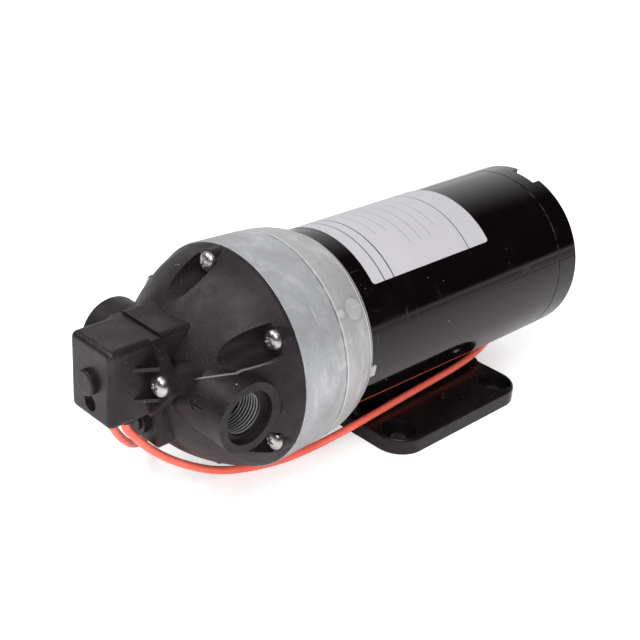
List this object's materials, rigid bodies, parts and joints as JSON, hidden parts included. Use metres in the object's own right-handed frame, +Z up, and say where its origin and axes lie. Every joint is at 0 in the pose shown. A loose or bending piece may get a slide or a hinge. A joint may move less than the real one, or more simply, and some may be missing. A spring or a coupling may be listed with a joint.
{
  "type": "caravan water pump",
  "caption": "Self-priming diaphragm water pump with drum motor, domed head, side ports, front pressure switch and moulded foot.",
  "frame": {"origin": "centre of the foot's four holes, on the foot's underside", "axes": "+X along the shaft towards the motor's rear, +Z up out of the foot, the pump head points to -X"},
  "size_m": [0.238, 0.1093, 0.0946],
  "materials": {
    "foot_plastic": "satin moulded black",
    "can_steel": "glossy black paint",
    "cast_housing": "bare pressure cast metal, mottled",
    "head_plastic": "satin moulded black",
    "switch_plastic": "satin moulded black",
    "valve_plastic": "moulded natural white",
    "label_film": "satin printed film, bare of words",
    "rubber_black": "soft matt",
    "plated_steel": "bright zinc plated",
    "bearing_steel": "ground and polished",
    "core_iron": "stacked sheet",
    "magnet_ferrite": "ground ferrite",
    "copper": "bright copper",
    "carbon": "pressed carbon",
    "lead_red": "smooth satin red",
    "button_red": "moulded"
  },
  "bodies": {
    "case": {"foot_plate": "foot_plastic", "foot_screws": "plated_steel", "motor_can": "can_steel", "motor_label": "label_film", "drive_ring": "cast_housing", "head_dome": "head_plastic", "head_screws": "plated_steel", "head_gasket": "rubber_black", "valve_plate": "valve_plastic", "outlet_valves": "rubber_black", "inlet_valves": "rubber_black", "diaphragm": "rubber_black", "clamp_plate": "valve_plastic", "front_bearing": "bearing_steel", "rear_bearing": "bearing_steel", "mount_plate": "plated_steel", "mount_screws": "plated_steel", "motor_magnets": "magnet_ferrite", "brush_holder": "head_plastic", "brushes": "carbon", "brush_springs": "plated_steel", "end_bell": "head_plastic", "switch_cover": "switch_plastic", "switch_screws": "plated_steel", "switch_seal": "rubber_black", "switch_base": "switch_plastic", "switch_spring": "plated_steel", "micro_switch": "switch_plastic", "switch_grommet": "rubber_black", "bypass_cap": "switch_plastic", "bypass_spring": "plated_steel", "motor_boot": "rubber_black", "motor_lead": "lead_red", "supply_lead": "lead_red", "supply_strand": "copper"},
    "rotor": {"motor_shaft": "plated_steel", "armature_core": "core_iron", "armature_windings": "copper", "commutator": "copper", "cam": "plated_steel"},
    "wobbler": {"wobble_plate": "valve_plastic", "cam_bearing": "bearing_steel", "piston_caps": "valve_plastic", "piston_screws": "plated_steel"},
    "plunger": {"switch_plunger": "switch_plastic"},
    "button": {"micro_button": "button_red"},
    "poppet": {"bypass_poppet": "valve_plastic"},
    "adjuster": {"switch_adjuster": "plated_steel"}
  },
  "joints": [
    {"name": "shaft_spin", "type": "hinge", "parent": "case", "child": "rotor", "pos_m": [0, 0, 0.05], "axis": [1, 0, 0], "continuous": true, "deforming": ["diaphragm"]},
    {"name": "wobble_turn", "type": "hinge", "parent": "rotor", "child": "wobbler", "pos_m": [-0.078, 0, 0.05], "axis": [0.9976, 0, 0.0698], "continuous": true, "deforming": ["diaphragm"]},
    {"name": "plunger_slide", "type": "slide", "parent": "case", "child": "plunger", "axis": [-1, 0, 0], "range_m": [0, 0.0005], "stiffness_N_per_m": 400, "springref_m": -0.002, "deforming": ["switch_spring", "switch_seal"]},
    {"name": "button_slide", "type": "slide", "parent": "case", "child": "button", "axis": [-1, 0, 0], "range_m": [0, 0.0005]},
    {"name": "poppet_slide", "type": "slide", "parent": "case", "child": "poppet", "axis": [-1, 0, 0], "range_m": [0, 0.0015], "stiffness_N_per_m": 400, "springref_m": -0.002, "deforming": ["bypass_spring"]},
    {"name": "adjuster_turn", "type": "hinge", "parent": "case", "child": "adjuster", "pos_m": [-0.156, 0, 0.0523], "axis": [-1, 0, 0], "range_deg": [-180, 180]}
  ],
  "couplings": [
    {"joint": "wobble_turn", "follows": "shaft_spin", "ratio": -1},
    {"joint": "button_slide", "follows": "plunger_slide", "ratio": 1}
  ]
}
